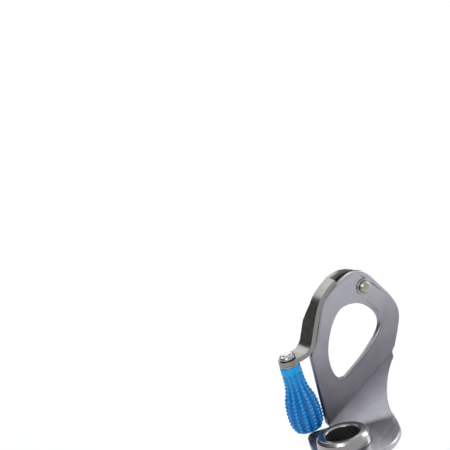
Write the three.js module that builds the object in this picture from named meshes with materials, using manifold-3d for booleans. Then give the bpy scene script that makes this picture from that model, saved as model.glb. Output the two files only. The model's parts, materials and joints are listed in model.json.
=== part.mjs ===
// Ice screw with a bent steel hanger and a folding crank arm. Millimetres, +Z up.
// The head frame has its origin at the centre of the collar's top ring and +Z along the tube,
// towards the head. The whole part is moved at the end, so that its origin is the eye's crown,
// where a carabiner carries it.
import * as THREE from 'three';
import { mergeVertices } from 'three/addons/utils/BufferGeometryUtils.js';
import Module from 'manifold-3d';

const wasm = await Module();
wasm.setup();

const DEG = Math.PI / 180;
const GAP = 0.2;
const RUNNING = 0.08;

// Tube and head
const BORE_R = 7.5;
const TUBE_R = 9;
const THREAD_R = 10.8;
const THREAD_PITCH = 6;
const THREAD_TURNS = 12;
const TUBE_LENGTH = 140;
const COLLAR_R = 11.5;
const COLLAR_FOOT_R = 12.2;
const COLLAR_LIP = 1.2;
const SHOULDER_R = 12;
const SEAT_HALF_WIDTH = 8.5;

// Hanger
const SHEET = 3;
const FACE_Y = 17;
const BASE_Z = -5.5;
const CREASE_START = new THREE.Vector2(6.03, -1.82);
const CREASE_ANGLE = 23.4 * DEG;
const CREASE_FOLD = 50 * DEG;
const CREASE_RADIUS = 1.6;
const FOOT_RADIUS = 4;
const PLATE_LEFT_X = 4.2;
const EYE_STEPS = 64;

// Crank
const PIVOT = new THREE.Vector2(37.7, 49.7);
const PIVOT_SHANK_R = 2.3;
const ARM_SHEET = 2.2;
const ARM_FRONT_Y = FACE_Y - 0.3;
const ARM_WIDTH = 9;
const LUG_FRONT_Y = FACE_Y + SHEET + 0.8;
const LUG_BACK_Y = LUG_FRONT_Y + ARM_SHEET;
const LUG_R = 6.2;
const ARM_STEPS = 22;
const PLATE_TO_ARM = 0.45;

// Knob. Its axis leans a little, because the folded arm stops just short of upright.
const KNOB_X = -5.3;
const KNOB_Y = ARM_FRONT_Y + ARM_WIDTH / 2;
const KNOB_LEAN = 3.3 * DEG;
const TAB_TOP_Z = 32.9;
const TAB_END_R = 4.3;
const AXLE_R = 2;
const KNOB_LENGTH = 31.4;

// Where the eye's crown lies in the head frame
const EYE_CROWN = new THREE.Vector3(29.2, FACE_Y + SHEET / 2, 44.9);

const steel = (name, color, roughness) =>
  new THREE.MeshStandardMaterial({ name, color, roughness, metalness: 0.9 });

const HANGER_STEEL = steel('hanger_steel', 0x8f8b90, 0.45);
const BRIGHT_STEEL = steel('bright_steel', 0xb4aea6, 0.25);
const TUBE_STEEL = steel('tube_steel', 0x9a9793, 0.35);
const ARM_STEEL = steel('arm_steel', 0x77756f, 0.4);
const BLUE_PLASTIC = new THREE.MeshStandardMaterial(
  { name: 'blue_plastic', color: 0x0878c0, roughness: 0.3, metalness: 0 });

// ---------------------------------------------------------------- solids

function bare(geometry) {
  const copy = geometry.clone();
  copy.deleteAttribute('normal');
  copy.deleteAttribute('uv');
  return mergeVertices(copy, 1e-4);
}

function solid(geometry) {
  const merged = bare(geometry);
  return new wasm.Manifold(new wasm.Mesh({
    numProp: 3,
    vertProperties: new Float32Array(merged.attributes.position.array),
    triVerts: new Uint32Array(merged.index.array),
  }));
}

function toGeometry(manifold) {
  const mesh = manifold.getMesh();
  const geometry = new THREE.BufferGeometry();
  geometry.setAttribute('position', new THREE.BufferAttribute(mesh.vertProperties, 3));
  geometry.setIndex(new THREE.BufferAttribute(mesh.triVerts, 1));
  geometry.computeVertexNormals();
  return geometry;
}

function named(name, geometry, material) {
  const mesh = new THREE.Mesh(geometry, material.clone());
  mesh.name = name;
  return mesh;
}

// A closed profile of [radius, height] pairs turned about Z.
function turned(profile, segments = 40) {
  const points = profile.map(([r, z]) => new THREE.Vector2(r, z));
  points.push(points[0].clone());
  return new THREE.LatheGeometry(points, segments).rotateX(Math.PI / 2);
}

// A pin, washer or ring along +Y, its profile given as [radius, y] pairs.
function turnedAlongY(profile, x, z, segments = 32) {
  const upright = turned(profile, segments);
  return upright.rotateX(-Math.PI / 2).translate(x, 0, z);
}

// An outline in the X-Z plane, extruded from y = near to y = far.
function plateAlongY(points, near, far, holes = []) {
  const shape = new THREE.Shape(points);
  shape.holes = holes.map(hole => new THREE.Path(hole));
  const geometry = new THREE.ExtrudeGeometry(shape, { depth: far - near, bevelEnabled: false });
  return geometry.rotateX(Math.PI / 2).translate(0, far, 0);
}

function circle(x, y, radius, count) {
  const points = [];
  for (let i = 0; i < count; i++) {
    const angle = i / count * 2 * Math.PI;
    points.push(new THREE.Vector2(x + radius * Math.cos(angle), y + radius * Math.sin(angle)));
  }
  return points;
}

function smooth(knots, steps) {
  return new THREE.SplineCurve(knots.map(([x, y]) => new THREE.Vector2(x, y))).getSpacedPoints(steps);
}

// The polyline moved sideways: positive distances go to the left of its direction.
function offsetLine(points, distance) {
  return points.map((point, i) => {
    const ahead = points[Math.min(i + 1, points.length - 1)];
    const behind = points[Math.max(i - 1, 0)];
    const along = ahead.clone().sub(behind).normalize();
    return new THREE.Vector2(point.x - along.y * distance, point.y + along.x * distance);
  });
}

function arc(x, y, radius, from, to, steps) {
  const curve = new THREE.EllipseCurve(x, y, radius, radius, from, to, to < from);
  return curve.getPoints(steps);
}

// ---------------------------------------------------------------- hanger

const flip = points => points.slice().reverse();

// The part of a polygon whose y lies between two stations.
function clipBetween(points, low, high) {
  const keep = (polygon, inside, station) => {
    const kept = [];
    polygon.forEach((point, i) => {
      const next = polygon[(i + 1) % polygon.length];
      if (inside(point)) kept.push(point);
      if (inside(point) !== inside(next)) {
        const share = (station - point.y) / (next.y - point.y);
        kept.push(new THREE.Vector2(point.x + share * (next.x - point.x), station));
      }
    });
    return kept;
  };
  const above = keep(points, p => p.y >= low, low);
  const between = keep(above, p => p.y <= high, high);
  return between.filter((point, i) => point.distanceTo(between.at(i - 1)) > 1e-6);
}

// A sheet made of flat regions and the bends between them. Each region has an outline, its
// holes, the stations where it is cut into strips, and fold(point, height), which carries a
// point of the flat outline to its place on the bent sheet, height above its front face.
function bentSheet(regions, thickness) {
  const front = [];
  const back = [];
  const indexOf = new Map();
  const triangles = [];
  const facesForward = (region, points) => {
    const [a, b, c] = points.map(point => region.fold(point, 0));
    const outward = region.fold(points[0], 1).sub(a);
    return b.sub(a).cross(c.sub(a)).dot(outward) > 0;
  };
  const vertex = (region, point) => {
    const place = region.fold(point, 0);
    const key = place.toArray().map(value => Math.round(value * 1e4)).join();
    if (!indexOf.has(key)) {
      indexOf.set(key, front.length);
      front.push(place);
      back.push(region.fold(point, -thickness));
    }
    return indexOf.get(key);
  };
  for (const region of regions) {
    for (let i = 0; i + 1 < region.stations.length; i++) {
      const [low, high] = [region.stations[i], region.stations[i + 1]];
      const strip = clipBetween(region.outline, low, high);
      const holes = region.holes.filter(hole => hole[0].y > low && hole[0].y < high);
      const points = [strip, ...holes].flat();
      for (const corners of THREE.ShapeUtils.triangulateShape(strip, holes)) {
        const chosen = corners.map(corner => points[corner]);
        const ordered = facesForward(region, chosen) ? chosen : flip(chosen);
        const triangle = ordered.map(point => vertex(region, point));
        if (new Set(triangle).size === 3) triangles.push(triangle);
      }
    }
  }
  const used = new Set();
  for (const [a, b, c] of triangles) [[a, b], [b, c], [c, a]].forEach(edge => used.add(edge.join()));
  const far = front.length;
  const indices = [];
  for (const [a, b, c] of triangles) {
    indices.push(a, b, c, far + a, far + c, far + b);
    for (const [p, q] of [[a, b], [b, c], [c, a]]) {
      if (!used.has([q, p].join())) indices.push(q, p, far + p, q, far + p, far + q);
    }
  }
  const geometry = new THREE.BufferGeometry().setFromPoints([...front, ...back]);
  geometry.setIndex(indices);
  return geometry;
}

// Directions of the three planes: the eye plate faces -Y, the foot faces +Z, and the web
// between them runs from the crease down to the foot.
const UP = new THREE.Vector3(0, 0, 1);
const PLATE_FACE = new THREE.Vector3(0, -1, 0);
const CREASE = new THREE.Vector3(Math.cos(CREASE_ANGLE), 0, Math.sin(CREASE_ANGLE));
const PLATE_DOWN = new THREE.Vector3(Math.sin(CREASE_ANGLE), 0, -Math.cos(CREASE_ANGLE));
const WEB_DOWN = PLATE_DOWN.clone().applyAxisAngle(CREASE, -CREASE_FOLD);
const WEB_FACE = PLATE_FACE.clone().applyAxisAngle(CREASE, -CREASE_FOLD);
const FOOT_FOLD = Math.acos(WEB_FACE.z);
const FOOT_ACROSS = WEB_FACE.clone().cross(UP).negate().normalize();
const FOOT_BACK = UP.clone().cross(FOOT_ACROSS);
const WEB_UP = FOOT_BACK.clone().multiplyScalar(Math.cos(FOOT_FOLD)).addScaledVector(UP, Math.sin(FOOT_FOLD));
const CREASE_POINT = new THREE.Vector3(CREASE_START.x, FACE_Y, CREASE_START.y);
const CREASE_REACH = CREASE_RADIUS * Math.tan(CREASE_FOLD / 2);
const FOOT_REACH = FOOT_RADIUS * Math.tan(FOOT_FOLD / 2);
const FOLD_OFFSET = (WEB_FACE.z * BASE_Z - WEB_FACE.dot(CREASE_POINT)) / Math.sin(FOOT_FOLD);
const FOLD_POINT = FOOT_BACK.clone().multiplyScalar(FOLD_OFFSET).addScaledVector(UP, BASE_Z);

// Carries (x along the fold, y across it) round a fold of the given radius. The sheet lies
// along before for y below -reach and along after for y above reach.
function foldedPlace(point, height, fold) {
  const { origin, along, before, after, faceBefore, faceAfter, radius, reach, angle } = fold;
  const place = origin.clone().addScaledVector(along, point.x);
  if (point.y <= -reach) return place.addScaledVector(before, point.y).addScaledVector(faceBefore, height);
  if (point.y >= reach) return place.addScaledVector(after, point.y).addScaledVector(faceAfter, height);
  const turn = angle * (point.y + reach) / (2 * reach);
  place.addScaledVector(before, -reach).addScaledVector(faceBefore, radius);
  place.addScaledVector(before, (radius - height) * Math.sin(turn));
  return place.addScaledVector(faceBefore, -(radius - height) * Math.cos(turn));
}

const creaseFold = {
  origin: CREASE_POINT, along: CREASE, before: PLATE_DOWN, after: WEB_DOWN,
  faceBefore: PLATE_FACE, faceAfter: WEB_FACE,
  radius: CREASE_RADIUS, reach: CREASE_REACH, angle: CREASE_FOLD,
};
const footFold = {
  origin: FOLD_POINT, along: FOOT_ACROSS, before: FOOT_BACK, after: WEB_UP,
  faceBefore: UP, faceAfter: WEB_FACE,
  radius: FOOT_RADIUS, reach: FOOT_REACH, angle: FOOT_FOLD,
};

// Plate coordinates: x along the crease and y below it, from X and Z in the head frame.
function inPlate(points) {
  return points.map(({ x, y }) => {
    const from = new THREE.Vector3(x, FACE_Y, y).sub(CREASE_POINT);
    return new THREE.Vector2(from.dot(CREASE), from.dot(PLATE_DOWN));
  });
}

// Foot coordinates of a point where the web leaves the crease.
function creaseEnd(along) {
  const place = foldedPlace(new THREE.Vector2(along, CREASE_REACH), 0, creaseFold).sub(FOLD_POINT);
  return new THREE.Vector2(place.dot(FOOT_ACROSS), place.dot(WEB_UP));
}

// Foot coordinates of the tube's axis
const AXIS_IN_FOOT = new THREE.Vector2(0, -FOLD_OFFSET);

// The arm's outer contour, from the top of its flange down and round into the tab.
function armContour() {
  const tabTop = x => TAB_TOP_Z + (x - KNOB_X) * Math.tan(KNOB_LEAN);
  const limb = smooth(
    [[24.1, 58.8], [19.1, 56.3], [14.9, 53.2], [12.1, 49.6], [9, 43.8], [5.6, 36.8]], ARM_STEPS);
  const corner = new THREE.Vector2(3.7, tabTop(3.7));
  const tabStart = new THREE.Vector2(0.4, tabTop(0.4));
  const bend = new THREE.QuadraticBezierCurve(limb[limb.length - 1], corner, tabStart).getPoints(6);
  const tabEnd = new THREE.Vector2(KNOB_X - TAB_END_R, tabTop(KNOB_X - TAB_END_R));
  return [...limb, ...bend.slice(1), tabEnd];
}

function hangerPlate() {
  const creaseLeft = -1.9;
  const [plateRight, webRight] = [42.3, 40.9];
  const nest = offsetLine(armContour(), ARM_SHEET + PLATE_TO_ARM);
  const nested = nest.filter(point => point.x > PLATE_LEFT_X + 0.2 && point.x < 24.6);
  const leftEdge = [new THREE.Vector2(PLATE_LEFT_X, -1.89), new THREE.Vector2(PLATE_LEFT_X, 29.8)];
  const crown = smooth(
    [[25.6, 56.2], [29, 57.4], [33.2, 58], [37.2, 57.5], [40.2, 55.8], [44, 50.8], [48.9, 42.8]], 22);
  const right = smooth([[48.9, 42.8], [51.9, 36], [52.2, 30], [49.6, 23.6], [46.3, 17.4]], 14);
  const chain = [...leftEdge, ...flip(nested), ...crown, ...right.slice(1)];
  const plate = inPlate(chain);
  plate[0] = new THREE.Vector2(creaseLeft, -CREASE_REACH);
  plate.push(new THREE.Vector2(plateRight, -CREASE_REACH));
  plate.push(new THREE.Vector2(webRight, CREASE_REACH), new THREE.Vector2(creaseLeft, CREASE_REACH));

  const eyeKnots = [
    [28.4, 44.9], [24.2, 44.6], [20.2, 41.8], [16.6, 37], [13.6, 30.6], [12.6, 25], [13, 19.6],
    [14.8, 15.8], [18, 14.5], [22, 16.1], [28.4, 19.2], [34, 22.8], [39.2, 27], [41.5, 31.2],
    [40.6, 36], [37, 40.8], [32.8, 43.7]];
  const eyeCurve = new THREE.SplineCurve([...eyeKnots, eyeKnots[0]].map(([x, y]) => new THREE.Vector2(x, y)));
  const eye = eyeCurve.getSpacedPoints(EYE_STEPS).slice(0, -1);

  const foot = [
    creaseEnd(webRight),
    ...smooth([[31.1, 25.5], [28.8, 21.6], [26.6, 16.6], [24.9, 10.4], [24.6, 4], [25.2, 0], [25.4, -8],
      [25, -14.5], [22.8, -20.6], [19.2, -26.5], [13.5, -30.2], [6, -31], [-4, -30.4], [-11, -27],
      [-13.8, -20], [-14, -12],
      [-14, 0], [-13, 2.5], [-10.5, 3.3], [-6, 3.35]], 72),
    creaseEnd(creaseLeft)];
  const pivotHole = circle(PIVOT.x, PIVOT.y, PIVOT_SHANK_R + GAP, 24);
  const flats = circle(AXIS_IN_FOOT.x, AXIS_IN_FOOT.y, TUBE_R + GAP, 48);
  const half = SEAT_HALF_WIDTH + GAP;
  flats.forEach(point => { point.x = Math.max(-half, Math.min(half, point.x)); });

  const bends = (reach, count) => Array.from({ length: count + 1 }, (_, i) => reach * (2 * i / count - 1));
  return bentSheet([
    { outline: plate, holes: [inPlate(eye), inPlate(pivotHole)], stations: [-100, ...bends(CREASE_REACH, 6)],
      fold: (point, height) => foldedPlace(point, height, creaseFold) },
    { outline: foot, holes: [flats], stations: [-100, ...bends(FOOT_REACH, 6), 100],
      fold: (point, height) => foldedPlace(point, height, footFold) },
  ], SHEET);
}

// ---------------------------------------------------------------- crank arm and pivot

function crankArm() {
  const outer = armContour();
  const inner = offsetLine(outer, ARM_SHEET);
  const strip = solid(plateAlongY([...outer, ...flip(inner)], ARM_FRONT_Y, ARM_FRONT_Y + ARM_WIDTH));

  // The strip is narrow where the lug is folded from it, down to the step at its kink.
  const kink = 10;
  const upper = outer.slice(0, kink);
  const lugTop = smooth([[39.6, 55.7], [34.4, 58.4], [29.4, 59.5], [24.1, 58.8]], 10);
  const start = Math.atan2(55.7 - PIVOT.y, 39.6 - PIVOT.x);
  const eyeSide = arc(PIVOT.x, PIVOT.y, LUG_R, -115 * DEG, start, 14);
  const lugLow = [new THREE.Vector2(27, 46.6), new THREE.Vector2(17.5, 46.2)];
  const lugOutline = [...upper, ...flip(lugLow), ...eyeSide.slice(0, -1), ...lugTop.slice(0, -1)];
  const lug = solid(plateAlongY(lugOutline, LUG_FRONT_Y, LUG_BACK_Y));
  const aboveKink = [...offsetLine(outer, -4).slice(0, kink), ...flip(offsetLine(outer, 6).slice(0, kink))];
  const notch = solid(plateAlongY(aboveKink, LUG_BACK_Y, LUG_BACK_Y + ARM_WIDTH));

  // Below the step the strip widens along a slope.
  const slope = new THREE.Shape([
    new THREE.Vector2(-2, 0), new THREE.Vector2(0.5, 0), new THREE.Vector2(9, 3), new THREE.Vector2(-2, 3)]);
  const [foot, next] = [outer[kink], outer[kink + 1]];
  const along = new THREE.Vector3(next.x - foot.x, 0, next.y - foot.y).normalize();
  const across = new THREE.Vector3(0, 1, 0);
  const placed = new THREE.Matrix4().makeBasis(along, across, along.clone().cross(across))
    .setPosition(foot.x, LUG_BACK_Y, foot.y);
  const wedge = new THREE.ExtrudeGeometry(slope, { depth: 12, bevelEnabled: false })
    .translate(0, 0, -6).applyMatrix4(placed);

  // Round the end of the tab about the knob's axis.
  const endBlock = new THREE.BoxGeometry(8, 20, 8).translate(KNOB_X - 4, KNOB_Y, TAB_TOP_Z);
  const endRound = new THREE.CylinderGeometry(TAB_END_R, TAB_END_R, 12, 48).rotateX(Math.PI / 2)
    .translate(KNOB_X, KNOB_Y, TAB_TOP_Z);
  const corners = solid(endBlock).subtract(solid(endRound));
  const axleHole = new THREE.CylinderGeometry(AXLE_R + GAP, AXLE_R + GAP, 12, 32)
    .rotateX(Math.PI / 2).rotateY(-KNOB_LEAN).translate(KNOB_X, KNOB_Y, TAB_TOP_Z);
  const lugHoleR = PIVOT_SHANK_R + RUNNING;
  const pivotHole = new THREE.CylinderGeometry(lugHoleR, lugHoleR, 20, 32)
    .translate(PIVOT.x, FACE_Y + 4, PIVOT.y);
  return toGeometry(strip.subtract(notch).subtract(solid(wedge)).add(lug).subtract(corners)
    .subtract(solid(axleHole)).subtract(solid(pivotHole)));
}

const pivotPart = profile => turnedAlongY(profile, PIVOT.x, PIVOT.y);

function pivotRivet() {
  const headBack = FACE_Y - 0.9;
  const dome = arc(0, 0, 1, 0, 90 * DEG, 6).map(({ x, y }) => [2.9 * x, headBack - 0.4 - 1.7 * y]);
  const clinchFront = LUG_BACK_Y + 1;
  return pivotPart([
    ...flip(dome), [2.9, headBack], [PIVOT_SHANK_R, headBack], [PIVOT_SHANK_R, clinchFront],
    [3.4, clinchFront], [3.2, clinchFront + 0.8], [2.4, clinchFront + 1.3], [0, clinchFront + 1.3]]);
}

function washer(innerR, outerR, near, far) {
  return [[innerR, near], [outerR, near], [outerR, far], [innerR, far]];
}

// A ring waved three times around, so that it presses plate and lug apart.
function waveWasher(innerR, outerR, middleY, thickness, wave) {
  const ring = solid(turnedAlongY([
    [innerR, middleY - thickness / 2], [outerR, middleY - thickness / 2],
    [outerR, middleY + thickness / 2], [innerR, middleY + thickness / 2]], 0, 0, 36));
  return toGeometry(ring.warp(place => {
    place[1] += wave * Math.sin(3 * Math.atan2(place[2], place[0]));
  })).translate(PIVOT.x, 0, PIVOT.y);
}

// ---------------------------------------------------------------- tube and head

// A sleeve whose outside carries the thread: rows of points follow the helix, and its ends
// are flat rings. The thread starts and ends at nothing over one turn.
function threadSleeve(bottomZ, innerR) {
  const columns = 24;
  const crest = [[0, 0], [0.16, 1], [0.3, 1], [0.46, 0]];
  const rowsPerTurn = crest.length;
  const rows = rowsPerTurn * (THREAD_TURNS - 1) + 1;
  const topZ = bottomZ + THREAD_PITCH * (THREAD_TURNS + 1);
  const positions = [];
  const indices = [];
  const addPoint = (radius, angle, z) => {
    positions.push(radius * Math.cos(angle), radius * Math.sin(angle), z);
    return positions.length / 3 - 1;
  };
  const rise = (turn) => {
    const fade = Math.min(1, turn, THREAD_TURNS - turn);
    return Math.max(0, fade);
  };
  const grid = [];
  for (let column = 0; column < columns; column++) {
    const share = column / columns;
    const line = [];
    for (let row = 0; row < rows; row++) {
      const [along, height] = crest[row % rowsPerTurn];
      const turn = Math.floor(row / rowsPerTurn) + along + share;
      const radius = TUBE_R + (THREAD_R - TUBE_R) * height * rise(turn);
      line.push(addPoint(radius, share * 2 * Math.PI, bottomZ + THREAD_PITCH * (turn + 0.5)));
    }
    grid.push(line);
  }
  const ring = (radius, z) => Array.from({ length: columns }, (_, column) =>
    addPoint(radius, column / columns * 2 * Math.PI, z));
  const [lowOut, lowIn] = [ring(TUBE_R, bottomZ), ring(innerR, bottomZ)];
  const [highIn, highOut] = [ring(innerR, topZ), ring(TUBE_R, topZ)];
  const quad = (a, b, c, d) => indices.push(a, b, c, a, c, d);
  for (let column = 0; column < columns; column++) {
    const next = (column + 1) % columns;
    const wrap = next === 0 ? rowsPerTurn : 0;
    const [left, right] = [grid[column], grid[next]];
    for (let row = 0; row + 1 < rows; row++) {
      const [low, high] = [row + wrap, row + 1 + wrap];
      if (high < rows) quad(left[row], right[low], right[high], left[row + 1]);
    }
    // Below the first row, and above the last
    let before = lowOut[next];
    for (let row = 0; row <= wrap; row++) {
      indices.push(lowOut[column], before, right[row]);
      before = right[row];
    }
    indices.push(lowOut[column], before, left[0]);
    const lastLeft = rows - 1 - wrap;
    before = right[rows - 1];
    for (let row = lastLeft; row < rows; row++) {
      const after = row + 1 < rows ? left[row + 1] : highOut[column];
      indices.push(before, after, left[row]);
    }
    indices.push(before, highOut[next], highOut[column]);
    quad(lowIn[column], lowIn[next], lowOut[next], lowOut[column]);
    quad(highIn[column], highIn[next], lowIn[next], lowIn[column]);
    quad(highOut[column], highOut[next], highIn[next], highIn[column]);
  }
  const geometry = new THREE.BufferGeometry();
  geometry.setAttribute('position', new THREE.Float32BufferAttribute(positions, 3));
  geometry.setIndex(indices);
  return geometry;
}

const SEAT_TOP_Z = -COLLAR_LIP - GAP;
const SHOULDER_TOP_Z = BASE_Z - SHEET - GAP;
const TIP_Z = BASE_Z - SHEET - TUBE_LENGTH;

function tube() {
  const wallR = TUBE_R - 0.3;
  const threadBottom = TIP_Z + 7;
  const profile = [
    [BORE_R, TIP_Z], [wallR - 0.6, TIP_Z], [wallR, TIP_Z + 6], [wallR, SHOULDER_TOP_Z - 7],
    [TUBE_R, SHOULDER_TOP_Z - 6.6], [TUBE_R, SHOULDER_TOP_Z - 4.6], [SHOULDER_R, SHOULDER_TOP_Z - 2.6],
    [SHOULDER_R, SHOULDER_TOP_Z], [TUBE_R, SHOULDER_TOP_Z], [TUBE_R, SEAT_TOP_Z], [BORE_R, SEAT_TOP_Z]];
  let body = solid(turned(profile, 48));
  body = body.add(solid(threadSleeve(threadBottom, wallR - 0.5)));

  // Two flats on the seat stop the hanger from turning on the tube.
  const seatDepth = SEAT_TOP_Z - SHOULDER_TOP_Z;
  const turn = Math.atan2(FOOT_ACROSS.y, FOOT_ACROSS.x);
  for (const side of [-1, 1]) {
    const flat = new THREE.BoxGeometry(4, 30, seatDepth)
      .translate(side * (SEAT_HALF_WIDTH + 2), 0, SHOULDER_TOP_Z + seatDepth / 2).rotateZ(turn);
    body = body.subtract(solid(flat));
  }

  // Four saw teeth at the tip
  const tooth = new THREE.Shape([
    new THREE.Vector2(-5.4, -1), new THREE.Vector2(5.2, -1), new THREE.Vector2(5.2, 0.4),
    new THREE.Vector2(-4.2, 6.4), new THREE.Vector2(-5.4, 6.4)]);
  for (let i = 0; i < 4; i++) {
    const cutter = new THREE.ExtrudeGeometry(tooth, { depth: 9, bevelEnabled: false })
      .rotateX(Math.PI / 2).translate(0, 14, TIP_Z).rotateZ(i * Math.PI / 2);
    body = body.subtract(solid(cutter));
  }
  return toGeometry(body);
}

function headCollar() {
  return turned([
    [BORE_R, 0 - 0.6], [BORE_R, -COLLAR_LIP], [TUBE_R + GAP, -COLLAR_LIP],
    [TUBE_R + GAP, BASE_Z + GAP], [COLLAR_FOOT_R, BASE_Z + GAP], [COLLAR_FOOT_R - 0.1, BASE_Z + 1.2],
    [COLLAR_R + 0.1, -1.4], [COLLAR_R - 0.1, -0.7], [COLLAR_R - 0.5, -0.2], [COLLAR_R - 1.1, 0],
    [BORE_R + 0.9, 0]], 64);
}

// ---------------------------------------------------------------- knob

// Profiles run down the knob's axis from the top face of the tab.
const TAB_UNDER = -ARM_SHEET;
const KNOB_TOP = TAB_UNDER - 1;
const KNOB_END = KNOB_TOP - KNOB_LENGTH;
const RECESS_R = 4.3;
const RECESS_TOP = KNOB_END + 3.6;
const BUSH_OUT_R = 3;

function knob() {
  const boreR = BUSH_OUT_R + GAP;
  return turned([
    [boreR, KNOB_TOP], [boreR, RECESS_TOP], [RECESS_R, RECESS_TOP], [RECESS_R, KNOB_END + 0.3],
    [5.2, KNOB_END], [6.2, KNOB_END + 0.5], [7.1, KNOB_END + 1.9], [7.55, KNOB_END + 3.8],
    [7.7, KNOB_END + 6.4], [7.7, KNOB_END + 8.6], [7.4, KNOB_END + 12], [6.9, KNOB_END + 15.2],
    [6, KNOB_END + 17.6], [5.2, KNOB_END + 20], [4.8, KNOB_END + 23], [4.6, KNOB_END + 27.5],
    [4.55, KNOB_TOP - 0.7], [4, KNOB_TOP]], 40);
}

function knobAxle() {
  const shankEnd = KNOB_END + 2.4;
  return turned([
    [0, shankEnd - 1.2], [1.8, shankEnd - 1.2], [2.6, shankEnd - 0.8], [2.8, shankEnd],
    [AXLE_R, shankEnd], [AXLE_R, GAP], [3.5, GAP], [3.6, 0.7], [3.3, 1.4], [2.5, 1.95], [1.3, 2.15],
    [0, 2.2]], 32);
}

const knobTopWasher = () => turned(washer(AXLE_R + GAP, 4.3, TAB_UNDER - 0.8, TAB_UNDER - GAP), 32);
const knobBushing = () => turned(washer(AXLE_R + RUNNING, BUSH_OUT_R, RECESS_TOP + 0.1, KNOB_TOP - 0.1), 32);
const knobEndWasher = () => turned(washer(AXLE_R + GAP, 3.9, RECESS_TOP - 0.8, RECESS_TOP - GAP), 32);

// ---------------------------------------------------------------- assembly

const headFrame = new THREE.Group();
headFrame.add(
  named('hanger_plate', hangerPlate(), HANGER_STEEL),
  named('head_collar', headCollar(), BRIGHT_STEEL),
  named('tube', tube(), TUBE_STEEL),
  named('crank_arm', crankArm(), ARM_STEEL),
  named('pivot_rivet', pivotRivet(), BRIGHT_STEEL),
  named('pivot_front_washer',
    pivotPart(washer(PIVOT_SHANK_R + GAP, 3.7, FACE_Y - 0.7, FACE_Y - 0.1)), ARM_STEEL),
  named('pivot_spring_washer',
    waveWasher(PIVOT_SHANK_R + GAP, 5, FACE_Y + SHEET + 0.4, 0.3, 0.12), BRIGHT_STEEL),
  named('pivot_back_washer',
    pivotPart(washer(PIVOT_SHANK_R + GAP, 4.6, LUG_BACK_Y + 0.2, LUG_BACK_Y + 0.8)), BRIGHT_STEEL));

const knobFrame = new THREE.Group();
knobFrame.position.set(KNOB_X, KNOB_Y, TAB_TOP_Z);
knobFrame.rotation.y = -KNOB_LEAN;
knobFrame.add(
  named('knob_axle', knobAxle(), BRIGHT_STEEL),
  named('knob_top_washer', knobTopWasher(), BRIGHT_STEEL),
  named('knob', knob(), BLUE_PLASTIC),
  named('knob_bushing', knobBushing(), BRIGHT_STEEL),
  named('knob_end_washer', knobEndWasher(), BRIGHT_STEEL));
headFrame.add(knobFrame);
headFrame.position.copy(EYE_CROWN).negate();

const part = new THREE.Group();
part.add(headFrame);

export default part;
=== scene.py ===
"""Ice screw with a bent steel hanger and a folding crank arm: its looks, lights and camera.

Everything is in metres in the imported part's frame. Sizes in the piece functions are millimetres.
"""

import json
import math

import bmesh
import bpy
from mathutils import Matrix, Vector

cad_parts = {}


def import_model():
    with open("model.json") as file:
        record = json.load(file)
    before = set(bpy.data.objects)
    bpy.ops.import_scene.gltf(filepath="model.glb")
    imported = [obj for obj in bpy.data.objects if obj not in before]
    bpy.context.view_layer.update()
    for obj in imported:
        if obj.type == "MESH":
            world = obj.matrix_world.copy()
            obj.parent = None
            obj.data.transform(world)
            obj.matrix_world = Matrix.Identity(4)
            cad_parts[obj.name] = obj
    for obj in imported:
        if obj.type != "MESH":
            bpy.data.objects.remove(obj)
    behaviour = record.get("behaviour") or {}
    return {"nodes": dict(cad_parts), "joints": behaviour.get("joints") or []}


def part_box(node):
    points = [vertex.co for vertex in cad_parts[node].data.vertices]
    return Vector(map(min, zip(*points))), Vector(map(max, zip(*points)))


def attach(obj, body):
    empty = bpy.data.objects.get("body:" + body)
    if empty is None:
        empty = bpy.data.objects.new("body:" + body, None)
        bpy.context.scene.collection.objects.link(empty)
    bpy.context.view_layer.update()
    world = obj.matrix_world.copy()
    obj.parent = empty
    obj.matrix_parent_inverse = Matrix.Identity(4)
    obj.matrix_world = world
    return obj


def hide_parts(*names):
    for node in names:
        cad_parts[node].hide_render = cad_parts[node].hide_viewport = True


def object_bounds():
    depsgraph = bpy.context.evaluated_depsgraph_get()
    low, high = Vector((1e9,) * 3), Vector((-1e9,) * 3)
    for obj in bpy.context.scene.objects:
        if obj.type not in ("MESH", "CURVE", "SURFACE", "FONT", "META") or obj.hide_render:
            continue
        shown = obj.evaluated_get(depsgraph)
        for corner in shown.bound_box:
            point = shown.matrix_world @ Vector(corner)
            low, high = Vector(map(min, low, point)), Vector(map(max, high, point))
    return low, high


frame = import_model()
CAD_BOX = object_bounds()
NODES = frame["nodes"]
JOINTS = {joint["name"]: joint for joint in frame["joints"]}
MM = 0.001


# ---------------------------------------------------------------- materials


def new_material(name):
    """A material, its node tree and its shader."""
    material = bpy.data.materials.new(name)
    material.use_nodes = True
    tree = material.node_tree
    return material, tree, tree.nodes["Principled BSDF"]


def noise(tree, scale, detail=4, stretch=(1, 1, 1)):
    """Noise over the object's own coordinates. Scale is in features per metre."""
    where = tree.nodes.new("ShaderNodeTexCoord")
    mapping = tree.nodes.new("ShaderNodeMapping")
    mapping.inputs["Scale"].default_value = stretch
    texture = tree.nodes.new("ShaderNodeTexNoise")
    texture.inputs["Scale"].default_value = scale
    texture.inputs["Detail"].default_value = detail
    tree.links.new(where.outputs["Object"], mapping.inputs["Vector"])
    tree.links.new(mapping.outputs["Vector"], texture.inputs["Vector"])
    return texture.outputs["Fac"]


def ranged(tree, value, low, high):
    """A value between about 0.3 and 0.7, spread from low to high."""
    node = tree.nodes.new("ShaderNodeMapRange")
    node.inputs["From Min"].default_value = 0.3
    node.inputs["From Max"].default_value = 0.7
    node.inputs["To Min"].default_value = low
    node.inputs["To Max"].default_value = high
    tree.links.new(value, node.inputs["Value"])
    return node.outputs["Result"]


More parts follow.
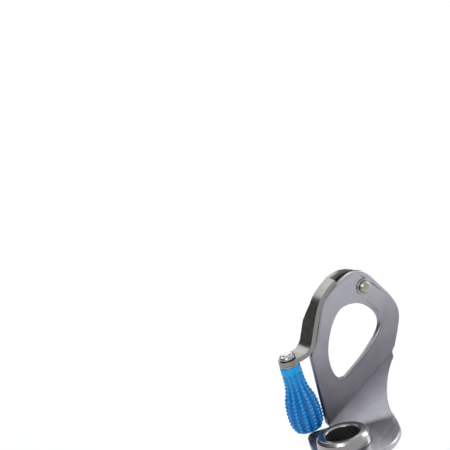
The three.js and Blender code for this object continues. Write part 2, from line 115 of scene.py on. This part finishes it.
def blended(tree, value, first, second):
    """A colour between first and second."""
    ramp = tree.nodes.new("ShaderNodeValToRGB")
    ramp.color_ramp.elements[0].position = 0.3
    ramp.color_ramp.elements[0].color = (*first, 1)
    ramp.color_ramp.elements[1].position = 0.7
    ramp.color_ramp.elements[1].color = (*second, 1)
    tree.links.new(value, ramp.inputs["Fac"])
    return ramp.outputs["Color"]


def bumped(tree, shader, height, strength, distance):
    """Raises the shader's surface by the height."""
    bump = tree.nodes.new("ShaderNodeBump")
    bump.inputs["Strength"].default_value = strength
    bump.inputs["Distance"].default_value = distance
    tree.links.new(height, bump.inputs["Height"])
    tree.links.new(bump.outputs["Normal"], shader.inputs["Normal"])


def spread(tree, source, axis, start, end):
    """0 to 1 as the object's own coordinate goes from start to end, eased at both ends."""
    node = tree.nodes.new("ShaderNodeMapRange")
    node.interpolation_type = "SMOOTHSTEP"
    node.inputs["From Min"].default_value = start
    node.inputs["From Max"].default_value = end
    tree.links.new(source.outputs[axis], node.inputs["Value"])
    return node.outputs["Result"]


SHADE_TOP, SHADE_BOTTOM = 0.012, -0.036
SHADE_AWAY, SHADE_NEAR = -0.011, -0.001


def fold_shade(material, darkest):
    """Darkens the plate toward its fold, in place of the dark surroundings that it would reflect."""
    tree = material.node_tree
    shader = tree.nodes["Principled BSDF"]
    color = shader.inputs["Base Color"].links[0].from_socket
    where = tree.nodes.new("ShaderNodeTexCoord")
    split = tree.nodes.new("ShaderNodeSeparateXYZ")
    tree.links.new(where.outputs["Object"], split.inputs["Vector"])
    down = spread(tree, split, "Z", SHADE_TOP, SHADE_BOTTOM)
    near = spread(tree, split, "Y", SHADE_AWAY, SHADE_NEAR)
    both = tree.nodes.new("ShaderNodeMath")
    both.operation = "MULTIPLY"
    tree.links.new(down, both.inputs[0])
    tree.links.new(near, both.inputs[1])
    mix = tree.nodes.new("ShaderNodeMix")
    mix.data_type = "RGBA"
    mix.blend_type = "MULTIPLY"
    tree.links.new(both.outputs["Value"], mix.inputs["Factor"])
    tree.links.new(color, mix.inputs["A"])
    mix.inputs["B"].default_value = (*darkest, 1)
    tree.links.new(mix.outputs["Result"], shader.inputs["Base Color"])


def steel(name, color, roughness, grain=2600, relief=0.1, stretch=(1, 1, 1)):
    """Steel with slow stains, uneven gloss and a fine grain."""
    material, tree, shader = new_material(name)
    shader.inputs["Metallic"].default_value = 1.0
    darker = [channel * 0.84 for channel in color]
    stains = noise(tree, 90, 5)
    tree.links.new(blended(tree, stains, darker, color), shader.inputs["Base Color"])
    gloss = noise(tree, 420, 5, stretch)
    low, high = roughness * 0.82, roughness * 1.18
    tree.links.new(ranged(tree, gloss, low, high), shader.inputs["Roughness"])
    bumped(tree, shader, noise(tree, grain, 3, stretch), relief, 0.00012)
    return material


def plastic(name, color, painted_shade):
    """Glossy moulded plastic with painted shade: it turns toward the shade colour where the furrow attribute
    is high, deep in the furrows.
    """
    material, tree, shader = new_material(name)
    furrow = tree.nodes.new("ShaderNodeAttribute")
    furrow.attribute_name = "furrow"
    ramp = tree.nodes.new("ShaderNodeValToRGB")
    ramp.color_ramp.elements[0].position = 0.1
    ramp.color_ramp.elements[0].color = (*color, 1)
    # The second colour is painted shade, for the furrows between the beads.
    ramp.color_ramp.elements[1].position = 0.75
    ramp.color_ramp.elements[1].color = (*painted_shade, 1)
    tree.links.new(furrow.outputs["Fac"], ramp.inputs["Fac"])
    tree.links.new(ramp.outputs["Color"], shader.inputs["Base Color"])
    shader.inputs["Specular IOR Level"].default_value = 0.35
    gloss = noise(tree, 900, 3)
    tree.links.new(ranged(tree, gloss, 0.2, 0.32), shader.inputs["Roughness"])
    bumped(tree, shader, noise(tree, 2400, 2), 0.06, 0.0001)
    return material


HANGER = steel("hanger_steel", (0.47, 0.46, 0.49), 0.36)
fold_shade(HANGER, (0.42, 0.4, 0.42))
ARM = steel("arm_steel", (0.28, 0.27, 0.255), 0.27, relief=0.04)
COLLAR = steel("collar_steel", (0.42, 0.4, 0.39), 0.2, 1800, 0.06, (0.2, 0.2, 3))
TUBE = steel("tube_steel", (0.46, 0.45, 0.44), 0.3, 1500, 0.1, (0.2, 0.2, 3))
RIVET = steel("rivet_steel", (0.42, 0.39, 0.34), 0.34, 1800, 0.2)
WASHER = steel("washer_steel", (0.45, 0.44, 0.42), 0.3)
AXLE = steel("axle_steel", (0.5, 0.46, 0.46), 0.2, 700, 0.5)
# Its second colour is the painted shade deep in the grip's furrows.
BLUE = plastic("blue_plastic", (0.0, 0.29, 0.64), (0.0, 0.11, 0.38))


# ---------------------------------------------------------------- meshes


def mesh_object(name, vertices, faces, material):
    """A smooth-shaded piece from vertices in metres."""
    mesh = bpy.data.meshes.new(name)
    mesh.from_pydata([tuple(v) for v in vertices], [], faces)
    mesh.validate()
    mesh.shade_smooth()
    mesh.materials.append(material)
    piece = bpy.data.objects.new(name, mesh)
    bpy.context.scene.collection.objects.link(piece)
    return piece


def weighted(piece):
    """Keeps broad faces flat and shades only the rounded edges."""
    modifier = piece.modifiers.new("normals", "WEIGHTED_NORMAL")
    modifier.keep_sharp = False
    modifier.weight = 50


def stands_for(piece, node, body):
    """piece is shown in place of the CAD node, and moves with its body."""
    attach(piece, body)
    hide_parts(node)


def softened(profile, radius, steps=4):
    """A turned profile with its corners rounded. It stays closed if it doesn't touch the axis."""
    points = [Vector(point) for point in profile]
    closed = points[0].x > 1e-6
    result = []
    for i, corner in enumerate(points):
        if not closed and i in (0, len(points) - 1):
            result.append(corner)
            continue
        before, after = points[i - 1], points[(i + 1) % len(points)]
        reach = min(radius, (before - corner).length * 0.45, (after - corner).length * 0.45)
        start = corner + (before - corner).normalized() * reach
        end = corner + (after - corner).normalized() * reach
        for k in range(steps + 1):
            t = k / steps
            result.append(start * (1 - t) ** 2 + corner * 2 * t * (1 - t) + end * t * t)
    return [tuple(point) for point in result]


def turned(name, profile, place, material, segments=96):
    """A piece turned round the Z axis of place, from (radius, height) pairs that run up its outside."""
    vertices, rings = [], []
    for radius, height in profile:
        count = 1 if radius < 1e-6 else segments
        first = len(vertices)
        for i in range(count):
            angle = 2 * math.pi * i / segments
            point = Vector((radius * math.cos(angle), radius * math.sin(angle), height)) * MM
            vertices.append(place @ point)
        rings.append([first + i % count for i in range(segments)])
    pairs = list(zip(rings, rings[1:]))
    if profile[0][0] > 1e-6:
        pairs.append((rings[-1], rings[0]))
    faces = []
    for low, high in pairs:
        for i in range(segments):
            j = (i + 1) % segments
            face = list(dict.fromkeys([low[i], low[j], high[j], high[i]]))
            if len(face) > 2:
                faces.append(face)
    piece = mesh_object(name, vertices, faces, material)
    weighted(piece)
    return piece


def finished(node, material, radius=0.2, angle=35):
    """A CAD node that stays: its edges are rounded, and it gets its material."""
    piece = NODES[node]
    piece.data.materials.clear()
    piece.data.materials.append(material)
    piece.data.shade_smooth()
    weld = piece.modifiers.new("weld", "WELD")
    weld.merge_threshold = 1e-6
    flat = piece.modifiers.new("flat", "DECIMATE")
    flat.decimate_type = "DISSOLVE"
    flat.angle_limit = math.radians(0.5)
    bevel = piece.modifiers.new("edges", "BEVEL")
    bevel.width = radius * MM
    bevel.segments = 4
    bevel.angle_limit = math.radians(angle)
    weighted(piece)
    return piece


def skins_of(bm):
    """The two broad sides of a sheet: the largest groups of faces that no sharp edge parts."""
    groups, seen = [], set()
    for start in bm.faces:
        if start in seen:
            continue
        group, waiting = [], [start]
        seen.add(start)
        while waiting:
            face = waiting.pop()
            group.append(face)
            for edge in face.edges:
                if edge.calc_face_angle(0) < math.radians(40):
                    fresh = [other for other in edge.link_faces if other not in seen]
                    seen.update(fresh)
                    waiting.extend(fresh)
        groups.append(group)
    groups.sort(key=lambda group: sum(face.calc_area() for face in group))
    return groups[-1], groups[-2]


def slopes_of(skin):
    """Each vertex of a skin with its normal there."""
    slopes = {}
    for face in skin:
        for loop in face.loops:
            slope = slopes.setdefault(loop.vert, Vector())
            slope += face.normal * loop.calc_angle()
    return {vertex: slope.normalized() for vertex, slope in slopes.items()}


def rim_of(skin):
    """Each rim vertex of a skin with the next one, its normal and the way in across the sheet."""
    inside = set(skin)
    following = {}
    normals = slopes_of(skin)
    for face in skin:
        for loop in face.loops:
            if any(other not in inside for other in loop.edge.link_faces):
                following[loop.vert] = loop.link_loop_next.vert
    leading = {after: before for before, after in following.items()}
    rim = {}
    for vertex, after in following.items():
        normal = normals[vertex]
        ahead = (after.co - vertex.co).normalized()
        behind = (vertex.co - leading[vertex].co).normalized()
        along = (ahead + behind).normalized()
        rim[vertex] = (after, normal, normal.cross(along).normalized())
    for _ in range(3):
        eased = {}
        for vertex, (after, normal, inward) in rim.items():
            blend = rim[leading[vertex]][2] + inward * 2 + rim[after][2]
            eased[vertex] = (after, normal, (blend - normal * blend.dot(normal)).normalized())
        rim = eased
    return rim


FLAT_BORDER = 0.2 * MM


def rounded_sheet(name, node, radius, material, steps=5):
    """The CAD sheet again, with its rims rounded over from the front skin to the back one."""
    bm = bmesh.new()
    bm.from_mesh(NODES[node].data)
    bmesh.ops.remove_doubles(bm, verts=bm.verts, dist=1e-6)
    bmesh.ops.dissolve_degenerate(bm, edges=bm.edges, dist=0.02 * MM)
    bm.normal_update()
    skins = skins_of(bm)
    rims = [rim_of(skin) for skin in skins]
    vertices, faces, inset = [], [], {}

    def add(point):
        vertices.append(point)
        return len(vertices) - 1

    def flat(rim, vertex):
        return add(vertex.co + (radius + FLAT_BORDER) * rim[vertex][2])

    def arc(rim, vertex, step):
        _, normal, inward = rim[vertex]
        turn = math.radians(90 * step / steps)
        return add(vertex.co + radius * (inward * (1 - math.sin(turn)) - normal * (1 - math.cos(turn))))

    for skin, rim in zip(skins, rims):
        for face in skin:
            for vertex in face.verts:
                if vertex not in inset:
                    inset[vertex] = flat(rim, vertex) if vertex in rim else add(vertex.co.copy())
            faces.append([inset[vertex] for vertex in face.verts])

    front, back = rims
    chains = {}
    for vertex in front:
        across = [edge.other_vert(vertex) for edge in vertex.link_edges]
        partner = min((v for v in across if v in back), key=lambda v: (v.co - vertex.co).length)
        chain = [inset[vertex]] + [arc(front, vertex, k) for k in range(steps + 1)]
        chain += [arc(back, partner, k) for k in range(steps, -1, -1)] + [inset[partner]]
        chains[vertex] = chain
    for vertex, (after, _, _) in front.items():
        here, there = chains[vertex], chains[after]
        for k in range(len(here) - 1):
            faces.append([there[k], here[k], here[k + 1], there[k + 1]])
    joined = {chain[-1] for chain in chains.values()}
    moved = {}
    for vertex in back:
        if inset[vertex] not in joined:
            moved[inset[vertex]] = min(joined, key=lambda i: (vertices[i] - vertices[inset[vertex]]).length)
    faces = [list(dict.fromkeys(moved.get(i, i) for i in face)) for face in faces]
    bm.free()
    piece = mesh_object(name, vertices, [face for face in faces if len(face) > 2], material)
    weighted(piece)
    return piece


# ---------------------------------------------------------------- places

COLLAR_LOW, COLLAR_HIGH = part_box("head_collar")
COLLAR_MIDDLE = (COLLAR_LOW + COLLAR_HIGH) / 2
HEAD = Matrix.Translation((COLLAR_MIDDLE.x, COLLAR_MIDDLE.y, COLLAR_HIGH.z))
SPIN = JOINTS["knob_spin"]
KNOB_UP = -Vector(SPIN["axis"])
KNOB_TILT = Vector((0, 0, 1)).rotation_difference(KNOB_UP).to_matrix().to_4x4()
KNOB = Matrix.Translation(SPIN["pos_m"]) @ KNOB_TILT
PIVOT = Matrix.Translation(JOINTS["crank_fold"]["pos_m"]) @ Matrix.Rotation(math.radians(90), 4, "X")


# ---------------------------------------------------------------- pieces


def head_collar():
    height = (COLLAR_HIGH.z - COLLAR_LOW.z) / MM
    profile = [(8.4, 0), (7.5, -0.6), (7.5, -1.2), (9.2, -1.2), (9.2, -height), (12.2, -height),
               (12.1, -height + 1), (11.6, -1.3), (10.5, 0)]
    piece = turned("collar", softened(profile, 0.25), HEAD, COLLAR, 128)
    stands_for(piece, "head_collar", "screw")


def pivot_rivet():
    near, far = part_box("pivot_rivet")
    front = (near.y - PIVOT.translation.y) / MM
    back = (far.y - PIVOT.translation.y) / MM
    profile = [(0, -back), (2.3, -back), (3.3, -back + 0.6), (3.4, -back + 1.3), (2.3, -back + 1.3),
               (2.3, -front - 2.1), (2.9, -front - 2.1), (2.85, -front - 1.4), (2.3, -front - 0.6),
               (1.3, -front - 0.12), (0, -front)]
    piece = turned("rivet", softened(profile, 0.25), PIVOT, RIVET, 64)
    stands_for(piece, "pivot_rivet", "screw")


KNOB_TOP = -3.2
KNOB_LENGTH = 31.4
KNOB_RADII = [(0, 4.2), (0.5, 4.55), (2.5, 4.6), (5, 4.65), (8.4, 4.8), (11.4, 5.25), (13.8, 6.05),
              (16.2, 6.9), (19.4, 7.45), (22.8, 7.7), (25, 7.7), (27.6, 7.55), (29.5, 7.1),
              (30.9, 6.2), (31.4, 5.2)]


def knob_radius(depth):
    """The grip's radius over its beads, by depth below its top."""
    for (d0, r0), (d1, r1) in zip(KNOB_RADII, KNOB_RADII[1:]):
        if depth <= d1:
            t = (depth - d0) / (d1 - d0)
            return r0 + (r1 - r0) * t * t * (3 - 2 * t) * 0.5 + (r1 - r0) * t * 0.5
    return KNOB_RADII[-1][1]


def bead_depth(angle, depth):
    """How far the surface lies below the beads: furrows between the rows, notches between beads."""
    columns, pitch = 12, 1.72
    fade = min(1, max(0, (depth - 2.6) / 1.5)) * min(1, max(0, (KNOB_LENGTH - 0.2 - depth) / 1.0))
    size = 0.5 + 0.5 * min(1, max(0, (depth - 7) / 9))
    across = abs(math.sin(columns * angle / 2)) ** 2
    along = (0.5 - 0.5 * math.cos(2 * math.pi * depth / pitch)) ** 1.3
    return fade * size * (1.15 * across + 0.5 * along * (1 - across))


def knob():
    around, rings = 216, 170
    vertices, faces, furrows = [], [], []
    for ring in range(rings):
        depth = KNOB_LENGTH * ring / (rings - 1)
        for i in range(around):
            angle = 2 * math.pi * i / around
            sunk = bead_depth(angle, depth)
            radius = knob_radius(depth) - sunk
            point = Vector((radius * math.cos(angle), radius * math.sin(angle), KNOB_TOP - depth))
            vertices.append(KNOB @ (point * MM))
            furrows.append(sunk)
    inside = [(4.7, KNOB_LENGTH), (4.3, KNOB_LENGTH - 0.4), (4.3, KNOB_LENGTH - 3.6),
              (3.2, KNOB_LENGTH - 3.6), (3.2, 0.2), (3.4, 0)]
    for radius, depth in inside:
        for i in range(around):
            angle = 2 * math.pi * i / around
            point = Vector((radius * math.cos(angle), radius * math.sin(angle), KNOB_TOP - depth))
            vertices.append(KNOB @ (point * MM))
    total = rings + len(inside)
    for ring in range(total):
        below = (ring + 1) % total
        for i in range(around):
            j = (i + 1) % around
            faces.append((below * around + i, below * around + j, ring * around + j, ring * around + i))
    piece = mesh_object("grip", vertices, faces, BLUE)
    # Furrow depth drives the painted shade in the blue plastic; the bore and ends get a middle value, so they
    # take some of it too.
    furrows += [0.3] * (len(vertices) - len(furrows))
    piece.data.attributes.new("furrow", "FLOAT", "POINT").data.foreach_set("value", furrows)
    stands_for(piece, "knob", "knob")


def knob_axle():
    end = KNOB_TOP - KNOB_LENGTH + 2.4
    profile = [(0, end - 1.2), (1.7, end - 1.2), (2.7, end - 0.7), (2.8, end), (2, end), (2, 0.2), (3.5, 0.2),
               (3.6, 0.8), (3.3, 1.5), (2.5, 1.95), (1.7, 1.8), (0.9, 1.5), (0, 1.45)]
    piece = turned("axle", softened(profile, 0.3), KNOB, AXLE, 64)
    stands_for(piece, "knob_axle", "crank")


# ---------------------------------------------------------------- light and camera


def area_light(name, place, target, size, power, color=(1, 1, 1)):
    light = bpy.data.lights.new(name, "AREA")
    light.shape = "RECTANGLE"
    light.size, light.size_y = size
    light.energy = power
    light.color = color
    lamp = bpy.data.objects.new(name, light)
    lamp.location = place
    lamp.rotation_euler = (Vector(target) - Vector(place)).to_track_quat("-Z", "Y").to_euler()
    bpy.context.scene.collection.objects.link(lamp)


def floor():
    material, tree, shader = new_material("floor")
    shader.inputs["Roughness"].default_value = 0.9
    tree.links.new(blended(tree, noise(tree, 3, 2), (0.86, 0.86, 0.87), (0.88, 0.88, 0.88)),
                   shader.inputs["Base Color"])
    bottom = CAD_BOX[0][2] - 0.002
    size = 9
    corners = [(-size, -size, bottom), (size, -size, bottom), (size, size, bottom), (-size, size, bottom)]
    mesh_object("floor", corners, [(0, 1, 2, 3)], material)


def world():
    """A soft studio: bright overhead and in front on the right, dim behind and low down."""
    sky = bpy.data.worlds.new("studio")
    sky.use_nodes = True
    tree = sky.node_tree
    where = tree.nodes.new("ShaderNodeTexCoord")
    toward = tree.nodes.new("ShaderNodeVectorMath")
    toward.operation = "DOT_PRODUCT"
    toward.inputs[1].default_value = (0.35, -0.35, 0.85)
    tree.links.new(where.outputs["Generated"], toward.inputs[0])
    ramp = tree.nodes.new("ShaderNodeValToRGB")
    ramp.color_ramp.elements[0].position = 0.0
    ramp.color_ramp.elements[0].color = (0.14, 0.14, 0.13, 1)
    ramp.color_ramp.elements[1].position = 0.6
    ramp.color_ramp.elements[1].color = (0.92, 0.95, 1, 1)
    tree.links.new(toward.outputs["Value"], ramp.inputs["Fac"])
    tree.links.new(ramp.outputs["Color"], tree.nodes["Background"].inputs["Color"])
    tree.nodes["Background"].inputs["Strength"].default_value = 0.8
    bpy.context.scene.world = sky
    bpy.context.scene.view_settings.view_transform = "Standard"


def camera():
    """Looks from the left, a little above, and tilted, so that the tube leans on the picture."""
    azimuth, elevation, roll = math.radians(28.4), math.radians(20.4), math.radians(14.4)
    distance, picture_width = 1.6, 0.1935
    back = Vector((-math.sin(azimuth) * math.cos(elevation), -math.cos(azimuth) * math.cos(elevation),
                   math.sin(elevation)))
    level = Vector((0, 0, 1)).cross(back).normalized()
    upright = back.cross(level)
    right = level * math.cos(roll) - upright * math.sin(roll)
    up = back.cross(right)
    aim = HEAD.translation - right * 0.0503 + up * 0.0892
    data = bpy.data.cameras.new("camera")
    data.sensor_width = 36
    data.lens = 36 * distance / picture_width
    data.clip_end = 50
    viewer = bpy.data.objects.new("camera", data)
    facing = Matrix((right, up, back)).transposed().to_4x4()
    viewer.matrix_world = Matrix.Translation(aim + back * distance) @ facing
    bpy.context.scene.collection.objects.link(viewer)
    bpy.context.scene.camera = viewer


head_collar()
pivot_rivet()
knob()
knob_axle()
hanger = rounded_sheet("hanger", "hanger_plate", 0.9 * MM, HANGER)
stands_for(hanger, "hanger_plate", "screw")
finished("crank_arm", ARM, 0.3)
finished("tube", TUBE, 0.3)
finished("pivot_front_washer", WASHER, 0.15)
finished("pivot_spring_washer", WASHER, 0.1)
finished("pivot_back_washer", WASHER, 0.15)
finished("knob_top_washer", WASHER, 0.15)
finished("knob_bushing", WASHER, 0.15)
finished("knob_end_washer", WASHER, 0.15)

floor()
world()
camera()
area_light("wash", (0.2, 1.6, 1.3), (0.1, 1.2, 0), (2.2, 1.6), 19)
area_light("key", (-0.9, -0.7, 0.9), (0, 0, 0), (0.7, 0.7), 9, (0.96, 0.98, 1))
area_light("rim", (1.1, -0.1, 0.3), (0, 0, -0.03), (0.4, 0.9), 5)
